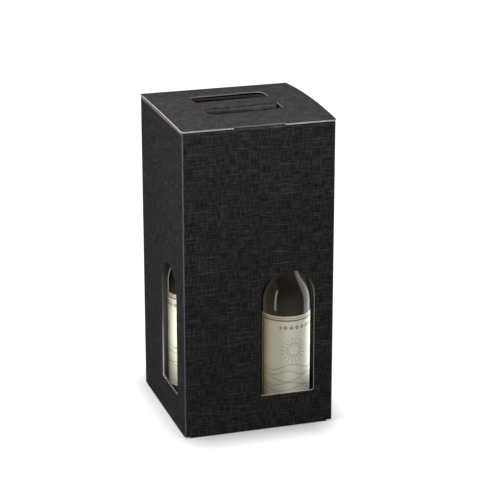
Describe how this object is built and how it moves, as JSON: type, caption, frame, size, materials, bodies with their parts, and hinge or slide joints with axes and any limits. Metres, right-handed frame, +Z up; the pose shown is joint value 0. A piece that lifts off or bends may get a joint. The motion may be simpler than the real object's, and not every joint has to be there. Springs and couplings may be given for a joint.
{
  "type": "bottle shipping box",
  "caption": "Tall square carton of fine-flute board with windows in its walls, a snap-lock bottom, a carrying strap cut in its hinged lid, a cross divider and full wine bottles.",
  "frame": {"origin": "middle of the base, on the surface the box stands on", "axes": "+Z up, -Y out of the front wall, +Y towards the wall the lid is hinged on, +X to the right seen from the front"},
  "size_m": [0.18, 0.18, 0.372],
  "materials": {
    "black_board": "black paper embossed like linen on fine-flute board",
    "brown_board": "plain brown board",
    "dark_glass": "dark olive-green bottle glass, filled with red wine",
    "cream_paper": "uncoated cream paper with a printed border",
    "dark_foil": "satin dark red shrink foil"
  },
  "bodies": {
    "box": {"carton": "black_board", "divider_lengthwise": "brown_board", "divider_crosswise": "brown_board", "bottle_front_right": "dark_glass", "bottle_front_left": "dark_glass", "bottle_back_left": "dark_glass", "bottle_back_right": "dark_glass", "label_front_right": "cream_paper", "label_front_left": "cream_paper", "label_back_left": "cream_paper", "label_back_right": "cream_paper", "capsule_front_right": "dark_foil", "capsule_front_left": "dark_foil", "capsule_back_left": "dark_foil", "capsule_back_right": "dark_foil"},
    "top": {"lid": "black_board"}
  },
  "joints": [
    {"name": "lid_hinge", "type": "hinge", "parent": "box", "child": "top", "pos_m": [0, 0.09, 0.3662], "axis": [-1, 0, 0], "range_deg": [0, 180]}
  ]
}
